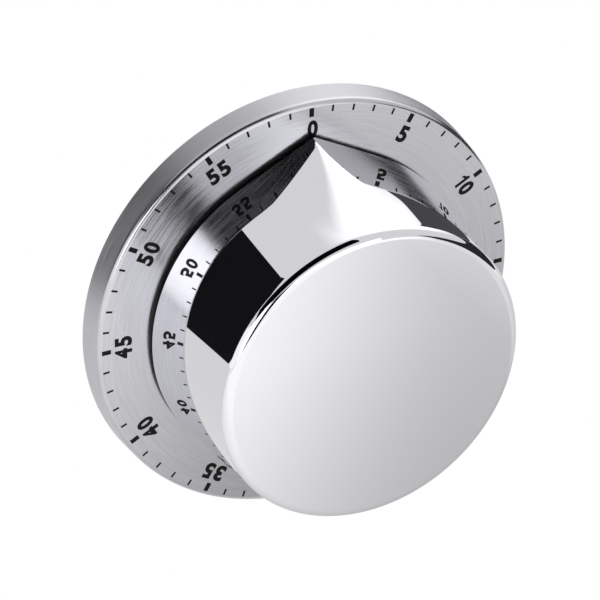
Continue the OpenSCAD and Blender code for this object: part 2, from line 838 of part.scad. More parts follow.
// Arm on the balance staff with two pins that stop and let go the escape wheel
module pallet() {
    to_wheel = heading(staff_at, escape_at);
    arm_z = level_escape + wheel_t + 2 * shoulder;
    pin_z = level_escape - 2 * shoulder;
    color("silver") hang() difference() {
        union() {
            at(staff_at, arm_z) cylinder(r = 2 * arbor_r, h = pallet_t);
            for (side = [-1, 1])
                let (pin = staff_at + polar(pallet_reach, to_wheel + side * pallet_spread)) {
                    translate([0, 0, arm_z])
                        strip(staff_at, pin, 2 * pallet_pin_r - shoulder, pallet_t - shoulder);
                    at(pin, pin_z) cylinder(r = pallet_pin_r, h = arm_z + pallet_t - pin_z);
                }
        }
        at(staff_at, arm_z - cut) cylinder(r = arbor_r, h = pallet_t + 2 * cut);
    }
}

// ---- Strike work ----

module strike_arbor() {
    color("silver") hang() arbor(strike_at);
}

module strike_pinion() {
    color("silver") hang() at(strike_at, level_main - pinion_spare) rotate(strike_turn)
        leaves(strike_leaves, main_module, main_wheel_t + 2 * pinion_spare, arbor_r);
}

module strike_star() {
    color("goldenrod") hang() at(strike_at, level_second) rotate(strike_turn)
        saw_wheel(star_points, star_r, star_depth, wheel_t, arbor_r);
}

module hammer_arbor() {
    color("silver") hang() {
        at(hammer_at, hammer_z) cylinder(r = arbor_r, h = front_z - shoulder - hammer_z);
        at(hammer_at, front_z - 2 * shoulder) cylinder(r = pivot_r, h = plate_t + shoulder);
    }
}

module hammer_arm() {
    color("silver") hang() translate([0, 0, hammer_z]) difference() {
        union() {
            at(hammer_at) cylinder(r = hammer_eye_r, h = hammer_t);
            strip(hammer_at, hammer_head_at, hammer_w, hammer_t);
        }
        at(hammer_at, -cut) cylinder(r = arbor_r, h = hammer_t + 2 * cut);
        at(hammer_head_at, -cut) cylinder(r = hammer_head_r, h = hammer_t + 2 * cut);
    }
}

module hammer_head() {
    color("goldenrod") hang() at(hammer_head_at, hammer_head_z)
        cylinder(r = hammer_head_r, h = hammer_z + hammer_t - hammer_head_z);
}

// Arm that the star's points flick
module hammer_tail_arm() {
    tip = hammer_at + polar(hammer_tail, heading(hammer_at, strike_at));
    color("silver") hang() translate([0, 0, level_second]) difference() {
        union() {
            at(hammer_at) cylinder(r = hammer_eye_r, h = wheel_t);
            strip(hammer_at, tip, hammer_w / 2, wheel_t);
        }
        at(hammer_at, -cut) cylinder(r = arbor_r, h = wheel_t + 2 * cut);
    }
}

// ---- Stop lever ----

module lever_screw() {
    color("silver") hang() at(lever_at) {
        translate([0, 0, front_z]) cylinder(r = lever_screw_r, h = lever_z + lever_t + shoulder - front_z);
        translate([0, 0, lever_z + lever_t + shoulder]) cylinder(r = 2 * lever_screw_r, h = lever_head_h);
    }
}

// Lever whose nose drops into the cam's notch at zero and frees the strike
module stop_lever() {
    color("lightsteelblue") hang() translate([0, 0, lever_z]) difference() {
        union() {
            at(lever_at) cylinder(r = lever_eye_r, h = lever_t);
            strip(lever_at, lever_knee_at, lever_w / 2, lever_t);
            at(lever_knee_at) cylinder(r = lever_w / 4, h = lever_t, $fn = 48);
            strip(lever_knee_at, lever_nose_at, lever_w / 2, lever_t);
            at(lever_nose_at) cylinder(r = lever_nose_r, h = lever_t, $fn = 48);
            strip(lever_at, lever_tail_at, lever_w, lever_t);
        }
        at(lever_at, -cut) cylinder(r = lever_screw_r + run_fit, h = lever_t + 2 * cut);
    }
}

module lever_spring() {
    color("silver") hang() {
        at(leaf_foot_at, front_z) cylinder(r = lever_screw_r, h = lever_z + lever_t - front_z);
        translate([0, 0, lever_z]) strip(leaf_foot_at, leaf_end_at, leaf_t, lever_t);
    }
}

dial_shell();
rear_cover();
magnet();
keeper_plate();
cover_screws();
movement_carrier();
dial_screws();
plate_screws();
back_plate();
front_plate();
pillars();
pillar_nuts();
back_bushing();
front_bushing();
bell();
bell_post();
bell_screw();
mainspring();
lever_screw();
lever_spring();
knob_shell();
knob_insert();
main_arbor();
main_wheel();
ratchet_wheel();
click_pin();
click_spring();
zero_cam();
cam_clip();
click();
second_arbor();
second_wheel();
second_pinion();
third_arbor();
third_wheel();
third_pinion();
escape_arbor();
escape_wheel();
escape_pinion();
balance_staff();
balance_wheel();
pallet();
strike_arbor();
strike_pinion();
strike_star();
hammer_arbor();
hammer_arm();
hammer_head();
hammer_tail_arm();
stop_lever();
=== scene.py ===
import json
import math

import bmesh
import bpy
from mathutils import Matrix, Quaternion, Vector


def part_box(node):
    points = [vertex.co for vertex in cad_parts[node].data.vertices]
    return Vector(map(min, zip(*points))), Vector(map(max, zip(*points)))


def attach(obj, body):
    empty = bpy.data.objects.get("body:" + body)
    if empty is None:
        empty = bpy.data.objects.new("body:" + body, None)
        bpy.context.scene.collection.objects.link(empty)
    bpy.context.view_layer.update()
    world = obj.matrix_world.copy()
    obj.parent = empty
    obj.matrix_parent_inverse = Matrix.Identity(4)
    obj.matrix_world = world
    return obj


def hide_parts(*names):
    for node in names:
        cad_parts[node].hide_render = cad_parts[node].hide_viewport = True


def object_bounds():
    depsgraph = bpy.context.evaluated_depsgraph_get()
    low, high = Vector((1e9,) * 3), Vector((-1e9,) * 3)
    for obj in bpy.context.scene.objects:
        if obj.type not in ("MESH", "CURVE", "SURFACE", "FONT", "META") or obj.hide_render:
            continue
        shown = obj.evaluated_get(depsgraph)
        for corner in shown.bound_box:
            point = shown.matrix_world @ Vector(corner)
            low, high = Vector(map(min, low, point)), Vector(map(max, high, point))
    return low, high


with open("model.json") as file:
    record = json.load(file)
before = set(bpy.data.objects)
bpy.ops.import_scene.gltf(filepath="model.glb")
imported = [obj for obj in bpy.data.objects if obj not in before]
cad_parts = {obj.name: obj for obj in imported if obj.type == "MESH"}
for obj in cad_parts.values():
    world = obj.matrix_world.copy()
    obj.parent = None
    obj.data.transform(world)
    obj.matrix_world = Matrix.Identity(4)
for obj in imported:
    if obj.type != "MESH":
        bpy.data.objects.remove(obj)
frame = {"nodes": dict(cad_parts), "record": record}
cad_low, cad_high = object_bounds()
scene = bpy.context.scene
mm = 0.001


# ---- Camera ----
# A long lens a little over half a metre away, up and to the left of the timer.
# Azimuth 0 looks straight at the dial, and the elevation is above the horizon.

camera_aim = Vector((-0.9, -6.0, 0.8)) * mm
camera_distance = 551 * mm
camera_azimuth = math.radians(-26.69)
camera_elevation = math.radians(31.05)
camera_roll = math.radians(1.28)
camera_lens = 192.5
camera_sensor = 36

towards_camera = Vector((
    math.sin(camera_azimuth) * math.cos(camera_elevation),
    -math.cos(camera_azimuth) * math.cos(camera_elevation),
    math.sin(camera_elevation),
))
camera_data = bpy.data.cameras.new("camera")
camera_data.lens = camera_lens
camera_data.sensor_width = camera_sensor
camera = bpy.data.objects.new("camera", camera_data)
camera.location = camera_aim + towards_camera * camera_distance
camera.rotation_mode = "QUATERNION"
camera.rotation_quaternion = (
    (-towards_camera).to_track_quat("-Z", "Y") @ Quaternion((0, 0, 1), camera_roll)
)
scene.collection.objects.link(camera)
scene.camera = camera
scene.view_settings.view_transform = "Standard"


# ---- Studio ----
# A plain white floor that the rim stands on, an even white room, and flat cards round the timer.
# The cards are what the polished knob shows: it has no colour of its own.

def linear(hex_colour):
    """An sRGB hex colour as the linear colour that the shaders take."""
    parts = [int(hex_colour[i:i + 2], 16) / 255 for i in (1, 3, 5)]
    return [c / 12.92 if c < 0.04045 else ((c + 0.055) / 1.055) ** 2.4 for c in parts] + [1]


def add_node(tree, kind, settings=None, links=None, **fields):
    """Adds a node; settings are values for its inputs, links are outputs that feed its inputs."""
    node = tree.nodes.new(kind)
    for name, value in fields.items():
        setattr(node, name, value)
    for name, value in (settings or {}).items():
        node.inputs[name].default_value = value
    for name, output in (links or {}).items():
        tree.links.new(output, node.inputs[name])
    return node


def glow(name, colour, strength):
    """A plain light-giving surface, for the floor and the cards."""
    material = bpy.data.materials.new(name)
    material.use_nodes = True
    tree = material.node_tree
    tree.nodes.clear()
    emission = add_node(tree, "ShaderNodeEmission", {"Color": linear(colour), "Strength": strength})
    add_node(tree, "ShaderNodeOutputMaterial", links={"Surface": emission.outputs[0]})
    return material


def new_piece(name, points, faces, material):
    """A mesh object with its place in its mesh."""
    mesh = bpy.data.meshes.new(name)
    mesh.from_pydata([tuple(p) for p in points], [], faces)
    mesh.materials.append(material)
    piece = bpy.data.objects.new(name, mesh)
    scene.collection.objects.link(piece)
    return piece


floor_side = 6.0
floor_level = cad_low.z
corners = [(-1, -1), (1, -1), (1, 1), (-1, 1)]
floor = new_piece(
    "floor",
    [(x * floor_side / 2, y * floor_side / 2, floor_level) for x, y in corners],
    [(0, 1, 2, 3)],
    glow("white_floor", "#ffffff", 1.0),
)

room_light = 0.8
world = bpy.data.worlds.new("white_room")
world.use_nodes = True
room = world.node_tree.nodes["Background"]
room.inputs["Color"].default_value = linear("#ffffff")
room.inputs["Strength"].default_value = room_light
scene.world = world


def card(name, points, material):
    """A flat card that only shows in polished and brushed metal."""
    piece = new_piece(name, points, [(0, 1, 2, 3)], material)
    piece.visible_camera = False
    piece.visible_diffuse = False
    piece.visible_shadow = False


def facing(start, end, middle, distance, width):
    """Corners of a card from one direction to another, square to the line of sight from middle."""
    start, end = Vector(start).normalized(), Vector(end).normalized()
    centre = (start + end).normalized()
    along = (end - start).normalized()
    across = centre.cross(along)
    reach = distance * math.tan(start.angle(end) / 2)
    base = Vector(middle) * mm + centre * distance
    return [base + along * (u * reach) + across * (v * width / 2) for u, v in corners]


# Each direction is seen from the card's middle point, with x right, y to the back and z up.
card("black_flag_behind", facing(
    start=(-0.365, 0.677, 0.639), end=(-0.681, 0.695, -0.230), middle=(-22, -20, 14),
    distance=180 * mm, width=280 * mm,
), glow("black_felt", "#151518", 1.0))
card("black_flag_above", facing(
    start=(-0.42, 0.12, 0.90), end=(-0.30, -0.76, 0.58), middle=(-12, -25, 22),
    distance=420 * mm, width=640 * mm,
), glow("black_felt_above", "#060607", 1.0))
card("grey_wall_right", facing(
    start=(0.80, 0.62, 0.04), end=(0.58, -0.81, 0.04), middle=(20, -20, 0),
    distance=420 * mm, width=180 * mm,
), glow("grey_wall", "#2c2c30", 1.0))
card("grey_wall_behind", facing(
    start=(0.50, 0.85, 0.02), end=(0.78, 0.62, 0.02), middle=(22, -22, 18),
    distance=200 * mm, width=120 * mm,
), glow("grey_wall_behind", "#4a4a4e", 1.0))
card("white_wall_front", facing(
    start=(0.08, -0.99, 0.0), end=(0.08, -0.90, 0.42), middle=(0, -20, 0),
    distance=480 * mm, width=340 * mm,
), glow("front_white_wall", "#ffffff", 1.5))
card("soft_box_left", facing(
    start=(-0.63, -0.78, -0.03), end=(-0.72, -0.54, 0.44), middle=(0, -10, 0),
    distance=500 * mm, width=210 * mm,
), glow("left_white_box", "#ffffff", 2.3))
card("white_wall_left", facing(
    start=(-0.84, -0.54, 0.08), end=(-0.98, 0.18, 0.08), middle=(0, -20, 0),
    distance=450 * mm, width=260 * mm,
), glow("left_white_wall", "#ffffff", 1.15))
card("black_stand", facing(
    start=(-0.36, -0.87, 0.42), end=(-0.44, -0.86, -0.25), middle=(0, -15, 0),
    distance=450 * mm, width=135 * mm,
), glow("black_stand_felt", "#060607", 1.0))

# A pale card flat on the floor behind, from just in front of the dial to well past it.
back_card_half = 420 * mm
back_card_front = -30 * mm
back_card_lift = 0.2 * mm
card("floor_card_behind", [
    (x * back_card_half, back_card_front if y < 0 else back_card_half, floor_level + back_card_lift)
    for x, y in corners
], glow("pale_grey_card", "#ffffff", 0.8))

# A soft white box up on the right, brightest in the middle, that whitens the bow.
box_bright, box_dim = 1.7, 0.8
box_bright_within = 120 * mm
box_dim_beyond = 460 * mm
box_distance = 600 * mm
white_box = glow("soft_white_box", "#ffffff", 1.6)
box_tree = white_box.node_tree
place = add_node(box_tree, "ShaderNodeTexCoord")
box_centre = Vector((0.56, 0.42, 0.72)).normalized() * box_distance
far = add_node(
    box_tree, "ShaderNodeVectorMath", {1: box_centre}, {0: place.outputs["Object"]},
    operation="DISTANCE",
)
fade = add_node(
    box_tree, "ShaderNodeMapRange",
    {
        "From Min": box_bright_within, "From Max": box_dim_beyond,
        "To Min": box_bright, "To Max": box_dim,
    },
    {"Value": far.outputs["Value"]}, interpolation_type="SMOOTHSTEP",
)
box_tree.links.new(fade.outputs["Result"], box_tree.nodes["Emission"].inputs["Strength"])
card("soft_box", facing(
    start=(-0.20, 0.28, 0.94), end=(0.93, 0.37, 0.02), middle=(0, 0, 0),
    distance=box_distance, width=940 * mm,
), white_box)

# Grey card flat on the floor in front: it shades the front of the knob softly towards lower right.
# It is white at the left, darker to the right and near the timer, and lighter again at the side.
front_card_half = 260 * mm
front_card_back = -8 * mm
front_card_front = -420 * mm
front_card_lift = 1 * mm
shade_card = glow("graded_grey_card", "#ffffff", 1.0)
shade_tree = shade_card.node_tree
place = add_node(shade_tree, "ShaderNodeTexCoord")
slope = add_node(
    shade_tree, "ShaderNodeVectorMath", {1: (1.0, 0.71, 0)}, {0: place.outputs["Object"]},
    operation="DOT_PRODUCT",
)
fade = add_node(
    shade_tree, "ShaderNodeMapRange",
    {"From Min": -78 * mm, "From Max": -6 * mm, "To Min": 1.2, "To Max": 0.68},
    {"Value": slope.outputs["Value"]}, interpolation_type="SMOOTHSTEP",
)
parts = add_node(shade_tree, "ShaderNodeSeparateXYZ", links={"Vector": place.outputs["Object"]})
near = add_node(
    shade_tree, "ShaderNodeMapRange",
    {"From Min": -100 * mm, "From Max": -8 * mm, "To Min": 1.0, "To Max": 0.76},
    {"Value": parts.outputs["Y"]},
)
aside = add_node(
    shade_tree, "ShaderNodeMapRange",
    {"From Min": 58 * mm, "From Max": 80 * mm, "To Min": 1.0, "To Max": 1.3},
    {"Value": parts.outputs["X"]},
)
half_way = add_node(
    shade_tree, "ShaderNodeMath", links={0: fade.outputs["Result"], 1: near.outputs["Result"]},
    operation="MULTIPLY",
)
whole = add_node(
    shade_tree, "ShaderNodeMath", links={0: half_way.outputs[0], 1: aside.outputs["Result"]},
    operation="MULTIPLY",
)
shade_tree.links.new(whole.outputs[0], shade_tree.nodes["Emission"].inputs["Strength"])
card("graded_card", [
    (
        x * front_card_half, front_card_back if y > 0 else front_card_front,
        floor_level + front_card_lift,
    )
    for x, y in corners
], shade_card)


# ---- Knob ----
# A hollow zinc casting, polished and chrome plated, that turns with the main arbor.
# Its foot is round with a pointed bow at zero, which sinks away up the flank to a round front.

knob_foot_r = 29.5 * mm
knob_front_r = 27.5 * mm
knob_edge = 1.7 * mm
knob_tip = 33.2 * mm
knob_tip_round = 0.8 * mm
knob_wall = 1.6 * mm
bow_fade = 1.5
bow_easing = 0.3
face_ring = 0.997
inner_edge = 0.4 * mm
sharp_angle = math.radians(35)
knob_low, knob_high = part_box("knob_shell")
knob_foot_y = knob_high.y
knob_face_y = knob_low.y


def bow_reach(a, disc_r, nose_r, nose_z):
    """Distance out to the line round a disc and a smaller nose disc above it, at angle a."""
    turn = math.acos(min(1, (disc_r - nose_r) / nose_z)) if nose_z > 1e-9 else 0
    nose_end = math.atan2(nose_r * math.sin(turn), nose_z + nose_r * math.cos(turn))
    flat_span = turn - nose_end
    if a >= nose_end:
        # The polishing wheel eases the flat into the round, so its angle fades out, not stops.
        past = turn - a
        eased = (past + math.hypot(past, flat_span * bow_easing)) / 2
        share = max(0, 1 - max(0, past) / flat_span) if flat_span > 1e-6 else 0
        return disc_r / math.cos(max(0, past) + (eased - max(0, past)) * share)
    return nose_z * math.cos(a) + math.sqrt(nose_r ** 2 - (nose_z * math.sin(a)) ** 2)


def knob_loops(foot_r, tip, tip_round, front_r, edge, foot_y, face_y, levels, edge_steps, side=300):
    """Loops up the flank, where the bow sinks away, and round the front edge on to the face."""
    # The points of a loop are closest together at zero, where the bow turns sharply.
    angles = [math.copysign(math.pi * (i / side) ** 2, i) for i in range(1 - side, side + 1)]
    loops = []
    for k in range(levels + 1):
        share = k / levels
        disc_r = foot_r + (front_r - foot_r) * share
        nose_share = tip_round / foot_r
        nose_r = disc_r * (nose_share + (1 - nose_share) * share ** bow_fade)
        nose_z = disc_r + (tip - foot_r) * (1 - share) ** bow_fade - nose_r
        y = foot_y + (face_y + edge - foot_y) * share
        loop = []
        for a in angles:
            reach = bow_reach(abs(a), disc_r, nose_r, nose_z)
            loop.append(Vector((reach * math.sin(a), y, reach * math.cos(a))))
        loops.append(loop)
    lean = math.atan((foot_r - front_r) / (foot_y - face_y - edge))
    for k in range(edge_steps + 1):
        tilt = lean + (math.pi / 2 - lean) * k / edge_steps
        r, y = front_r - edge + edge * math.cos(tilt), face_y + edge - edge * math.sin(tilt)
        loops.append([Vector((r * math.sin(a), y, r * math.cos(a))) for a in angles])
    loops.append([Vector((p.x * face_ring, p.y, p.z * face_ring)) for p in loops[-1]])
    return loops


def shell_mesh(name, loops, first_centre, last_centre, material):
    """A closed skin over loops of equal length, with a fan at each end."""
    count = len(loops[0])
    points = [p for loop in loops for p in loop] + [first_centre, last_centre]
    faces = []
    for k in range(len(loops) - 1):
        for i in range(count):
            j = (i + 1) % count
            faces.append((k * count + i, k * count + j, (k + 1) * count + j, (k + 1) * count + i))
    last = (len(loops) - 1) * count
    for i in range(count):
        j = (i + 1) % count
        faces.append((len(points) - 2, j, i))
        faces.append((len(points) - 1, last + i, last + j))
    piece = new_piece(name, points, faces, material)
    smooth(piece)
    return piece


def smooth(piece):
    """Merges doubles, turns the faces outwards, and smooths all but the sharp edges."""
    work = bmesh.new()
    work.from_mesh(piece.data)
    bmesh.ops.remove_doubles(work, verts=work.verts, dist=1e-6)
    bmesh.ops.recalc_face_normals(work, faces=work.faces)
    work.to_mesh(piece.data)
    work.free()
    piece.data.shade_smooth()
    piece.data.set_sharp_from_angle(angle=sharp_angle)


def surface(name, colour, metallic, roughness):
    """A material with a Principled shader; the caller adds its pattern."""
    material = bpy.data.materials.new(name)
    material.use_nodes = True
    tree = material.node_tree
    shader = tree.nodes["Principled BSDF"]
    shader.inputs["Base Color"].default_value = linear(colour)
    shader.inputs["Metallic"].default_value = metallic
    shader.inputs["Roughness"].default_value = roughness
    return material, tree, shader


# Chrome plate over polished zinc: a mirror with a faint grey tint and the lightest haze of wiping.
haze_size = 9 * mm
chrome, tree, shader = surface("polished_chrome_plate", "#e6e6ea", 1.0, 0.02)
place = add_node(tree, "ShaderNodeTexCoord")
haze = add_node(
    tree, "ShaderNodeTexNoise", {"Scale": 1 / haze_size, "Detail": 3},
    {"Vector": place.outputs["Object"]},
)
spread = add_node(
    tree, "ShaderNodeMapRange",
    {"From Min": 0.35, "From Max": 0.7, "To Min": 0.012, "To Max": 0.035},
    {"Value": haze.outputs["Fac"]},
)
tree.links.new(spread.outputs["Result"], shader.inputs["Roughness"])

outer = knob_loops(
    knob_foot_r, knob_tip, knob_tip_round, knob_front_r, knob_edge, knob_foot_y, knob_face_y,
    levels=30, edge_steps=16,
)
inner = knob_loops(
    knob_foot_r - knob_wall, knob_tip - 2 * knob_wall, knob_tip_round, knob_front_r - knob_wall,
    inner_edge, knob_foot_y, knob_face_y + knob_wall, levels=10, edge_steps=3,
)
knob = shell_mesh(
    "knob", outer[::-1] + inner,
    Vector((0, knob_face_y, 0)), Vector((0, knob_face_y + knob_wall, 0)), chrome,
)

# Inside and under the foot the casting is bare, dull zinc; its dark grey is partly painted shade.
die_grain = 0.6 * mm
zinc_and_painted_gap_shade, tree, shader = surface("bare_zinc_and_painted_gap_shade", "#2a2a2c", 0.6, 0.6)
place = add_node(tree, "ShaderNodeTexCoord")
grain = add_node(
    tree, "ShaderNodeTexNoise", {"Scale": 1 / die_grain, "Detail": 3},
    {"Vector": place.outputs["Object"]},
)
bump = add_node(
    tree, "ShaderNodeBump", {"Strength": 0.4, "Distance": 0.03 * mm},
    {"Height": grain.outputs["Fac"]},
)
tree.links.new(bump.outputs["Normal"], shader.inputs["Normal"])
knob.data.materials.append(zinc_and_painted_gap_shade)
# Painted shade: the dark grey on these faces also blackens the gap between the foot and the dial.
for face in knob.data.polygons:
    centre = face.center
    under_foot = centre.y > knob_foot_y - 1e-6
    inside = face.normal.x * centre.x + face.normal.z * centre.z < -1e-12
    behind_face = face.normal.y > 0.5
    if under_foot or inside or behind_face:
        face.material_index = 1
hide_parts("knob_shell")
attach(knob, "knob")


# ---- Dial disc ----
# Pressed from 0.6 mm stainless steel sheet with a drawn rim, and brushed on a turntable.
# Three screws, hidden under the knob, hold it on the movement's carrier.

dial_wall = 0.6 * mm
dial_edge = 0.9 * mm
dial_draft = 0.35 * mm
dial_hole_r = 24.2 * mm
dial_low, dial_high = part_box("dial_shell")
dial_r = dial_high.x
dial_face_y = dial_low.y
dial_back_y = dial_high.y


def turned(name, profile, material, steps=360):
    """A closed ring turned about the timer's axis from a profile of radius and y."""
    points, faces = [], []
    for i in range(steps):
        a = 2 * math.pi * i / steps
        points += [(r * math.sin(a), y, r * math.cos(a)) for r, y in profile]
    n = len(profile)
    for i in range(steps):
        j = (i + 1) % steps
        for k in range(n):
            m = (k + 1) % n
            faces.append((i * n + k, i * n + m, j * n + m, j * n + k))
    piece = new_piece(name, points, faces, material)
    smooth(piece)
    return piece


def arc(r_centre, y_centre, radius, start, end, steps):
    """Points of an arc; 0 degrees is outwards and 90 is to the front."""
    angles = [math.radians(start + (end - start) * i / steps) for i in range(steps + 1)]
    return [(r_centre + radius * math.cos(a), y_centre - radius * math.sin(a)) for a in angles]


# Stainless steel brushed on a turntable: fine rings, drawn 0.3 mm apart so that they show, broken
# every 8 mm or so, which stretch each reflection across themselves.
ring_pitch = 0.3 * mm
ring_length = 8 * mm
rim_starts = dial_face_y + 0.4 * mm
rim_full = dial_face_y + 1.2 * mm
rim_rougher = 0.28
brushed, tree, shader = surface("brushed_stainless_steel", "#c4c4c8", 1.0, 0.28)
shader.inputs["Anisotropic"].default_value = 0.5
shader.inputs["Anisotropic Rotation"].default_value = 0.25
place = add_node(tree, "ShaderNodeTexCoord")
parts = add_node(tree, "ShaderNodeSeparateXYZ", links={"Vector": place.outputs["Object"]})
flat = add_node(
    tree, "ShaderNodeVectorMath", {1: (1, 0, 1)}, {0: place.outputs["Object"]}, operation="MULTIPLY"
)
out_by = add_node(tree, "ShaderNodeVectorMath", links={0: flat.outputs[0]}, operation="LENGTH")
past = add_node(
    tree, "ShaderNodeMath", links={0: out_by.outputs["Value"], 1: parts.outputs["Y"]},
    operation="SUBTRACT",
)
ring = add_node(
    tree, "ShaderNodeMath", {1: 1 / ring_pitch}, {0: past.outputs[0]}, operation="MULTIPLY"
)
across = add_node(
    tree, "ShaderNodeMath", {1: 1 / ring_length}, {0: parts.outputs["X"]}, operation="MULTIPLY"
)
upward = add_node(
    tree, "ShaderNodeMath", {1: 1 / ring_length}, {0: parts.outputs["Z"]}, operation="MULTIPLY"
)
spot = add_node(
    tree, "ShaderNodeCombineXYZ",
    links={"X": ring.outputs[0], "Y": across.outputs[0], "Z": upward.outputs[0]},
)
rings = add_node(
    tree, "ShaderNodeTexNoise", {"Scale": 1.0, "Detail": 4, "Roughness": 0.6},
    {"Vector": spot.outputs["Vector"]},
)
tone = add_node(
    tree, "ShaderNodeMixRGB", {"Color1": linear("#b8b8bd"), "Color2": linear("#d6d6da")},
    {"Fac": rings.outputs["Fac"]},
)
spread = add_node(
    tree, "ShaderNodeMapRange", {"From Min": 0.3, "From Max": 0.7, "To Min": 0.15, "To Max": 0.27},
    {"Value": rings.outputs["Fac"]},
)
# The drawn rim is only dull from the press, so it is rougher than the brushed face.
on_rim = add_node(
    tree, "ShaderNodeMapRange",
    {"From Min": rim_starts, "From Max": rim_full, "To Min": 0, "To Max": rim_rougher},
    {"Value": parts.outputs["Y"]},
)
rough = add_node(
    tree, "ShaderNodeMath", links={0: spread.outputs["Result"], 1: on_rim.outputs["Result"]},
    operation="ADD",
)
bump = add_node(
    tree, "ShaderNodeBump", {"Strength": 0.045, "Distance": 0.02 * mm},
    {"Height": rings.outputs["Fac"]},
)
around = add_node(tree, "ShaderNodeTangent", direction_type="RADIAL", axis="Y")
for socket, output in {
    "Base Color": tone.outputs[0], "Roughness": rough.outputs[0],
    "Normal": bump.outputs["Normal"], "Tangent": around.outputs["Tangent"],
}.items():
    tree.links.new(output, shader.inputs[socket])

# Points close beside each end of the front edge keep the face and the rim flat when smoothed.
edge_centre_r = dial_r - dial_draft - dial_edge
edge_centre_y = dial_face_y + dial_edge
close = 0.05 * mm
close_draft = 0.005 * mm
profile = (
    [
        (dial_hole_r, dial_face_y + dial_wall),
        (dial_hole_r, dial_face_y),
        (edge_centre_r - close, dial_face_y),
    ]
    + arc(edge_centre_r, edge_centre_y, dial_edge, start=90, end=0, steps=10)
    + [
        (dial_r - dial_draft + close_draft, edge_centre_y + close),
        (dial_r, dial_back_y),
        (dial_r - dial_wall, dial_back_y),
    ]
    + arc(edge_centre_r, edge_centre_y, dial_edge - dial_wall, start=0, end=90, steps=6)
)
dial = turned("dial_disc", profile, brushed)

# Three holes under the knob, where screws hold the disc on the movement's carrier.
screw_ring = 25.8 * mm
screw_head_r = 1.52 * mm
screw_angles = (40, 160, 280)
drill_sides = 32
drill_depth = 4 * mm
drill = bmesh.new()
for degrees in screw_angles:
    a = math.radians(degrees)
    made = bmesh.ops.create_cone(
        drill, cap_ends=True, segments=drill_sides, radius1=screw_head_r, radius2=screw_head_r,
        depth=drill_depth,
    )
    for v in made["verts"]:
        v.co = Vector((
            v.co.x + screw_ring * math.cos(a),
            dial_face_y + v.co.z,
            v.co.y + screw_ring * math.sin(a),
        ))
bmesh.ops.recalc_face_normals(drill, faces=drill.faces)
drill_mesh = bpy.data.meshes.new("screw_holes")
drill.to_mesh(drill_mesh)
drill.free()
drill_piece = bpy.data.objects.new("screw_holes", drill_mesh)
scene.collection.objects.link(drill_piece)
cutter = dial.modifiers.new("holes", "BOOLEAN")
cutter.operation = "DIFFERENCE"
cutter.object = drill_piece
bpy.context.view_layer.update()
graph = bpy.context.evaluated_depsgraph_get()
holed = bpy.data.meshes.new_from_object(dial.evaluated_get(graph))
dial.modifiers.remove(cutter)
dial.data = holed
bpy.data.objects.remove(drill_piece)
dial.data.set_sharp_from_angle(angle=sharp_angle)
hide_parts("dial_shell")
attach(dial, "case")


# ---- Printed scale ----
# Black ink, screen printed on the face: a tick each minute, a wide one each five, and numerals.
# Each numeral stands upright on its own radius, with its top towards its tick.

# Ink lies a little proud and is not quite even, so its sheen varies by the 0.4 mm of the screen.
screen_pitch = 0.4 * mm
ink, tree, shader = surface("black_screen_ink", "#08080a", 0.0, 0.4)
shader.inputs["Specular IOR Level"].default_value = 0.15
place = add_node(tree, "ShaderNodeTexCoord")
grain = add_node(
    tree, "ShaderNodeTexNoise", {"Scale": 1 / screen_pitch, "Detail": 2},
    {"Vector": place.outputs["Object"]},
)
sheen = add_node(
    tree, "ShaderNodeMapRange", {"To Min": 0.32, "To Max": 0.5}, {"Value": grain.outputs["Fac"]}
)
tree.links.new(sheen.outputs["Result"], shader.inputs["Roughness"])
ink_t = 0.02 * mm
ink_sunk = 0.01 * mm
minutes = 60
minute_degrees = 6
numeral_step = 5
minute_ring = 37.64 * mm
five_ring = 37.4 * mm
minute_mark_w, minute_mark_h = 0.37 * mm, 1.15 * mm
five_mark_w, five_mark_h = 0.85 * mm, 1.65 * mm

tick_tree = bpy.data.node_groups.new("scale_ticks", "GeometryNodeTree")
tick_tree.interface.new_socket("Geometry", in_out="INPUT", socket_type="NodeSocketGeometry")
sizes = {
    "Ring": minute_ring, "Width": minute_mark_w, "Length": minute_mark_h,
    "Five ring": five_ring, "Five width": five_mark_w, "Five length": five_mark_h,
    "Thickness": ink_t + ink_sunk, "Level": dial_face_y + (ink_sunk - ink_t) / 2,
}
sockets = {}
for name in sizes:
    socket = tick_tree.interface.new_socket(name, in_out="INPUT", socket_type="NodeSocketFloat")
    sockets[name] = socket.identifier
tick_tree.interface.new_socket("Geometry", in_out="OUTPUT", socket_type="NodeSocketGeometry")
given = add_node(tick_tree, "NodeGroupInput")
index = add_node(tick_tree, "GeometryNodeInputIndex")
angle = add_node(
    tick_tree, "ShaderNodeMath", {1: math.radians(minute_degrees)}, {0: index.outputs[0]},
    operation="MULTIPLY",
)
step = add_node(
    tick_tree, "ShaderNodeMath", {1: numeral_step}, {0: index.outputs[0]}, operation="MODULO"
)
plain = add_node(
    tick_tree, "ShaderNodeMath", {1: 0.5}, {0: step.outputs[0]}, operation="GREATER_THAN"
)
fifth = add_node(
    tick_tree, "ShaderNodeMath", {1: 0.5}, {0: step.outputs[0]}, operation="LESS_THAN"
)
turn = add_node(tick_tree, "ShaderNodeCombineXYZ", links={"Y": angle.outputs[0]})
spots = add_node(tick_tree, "GeometryNodePoints", {"Count": minutes})
joined = add_node(tick_tree, "GeometryNodeJoinGeometry")
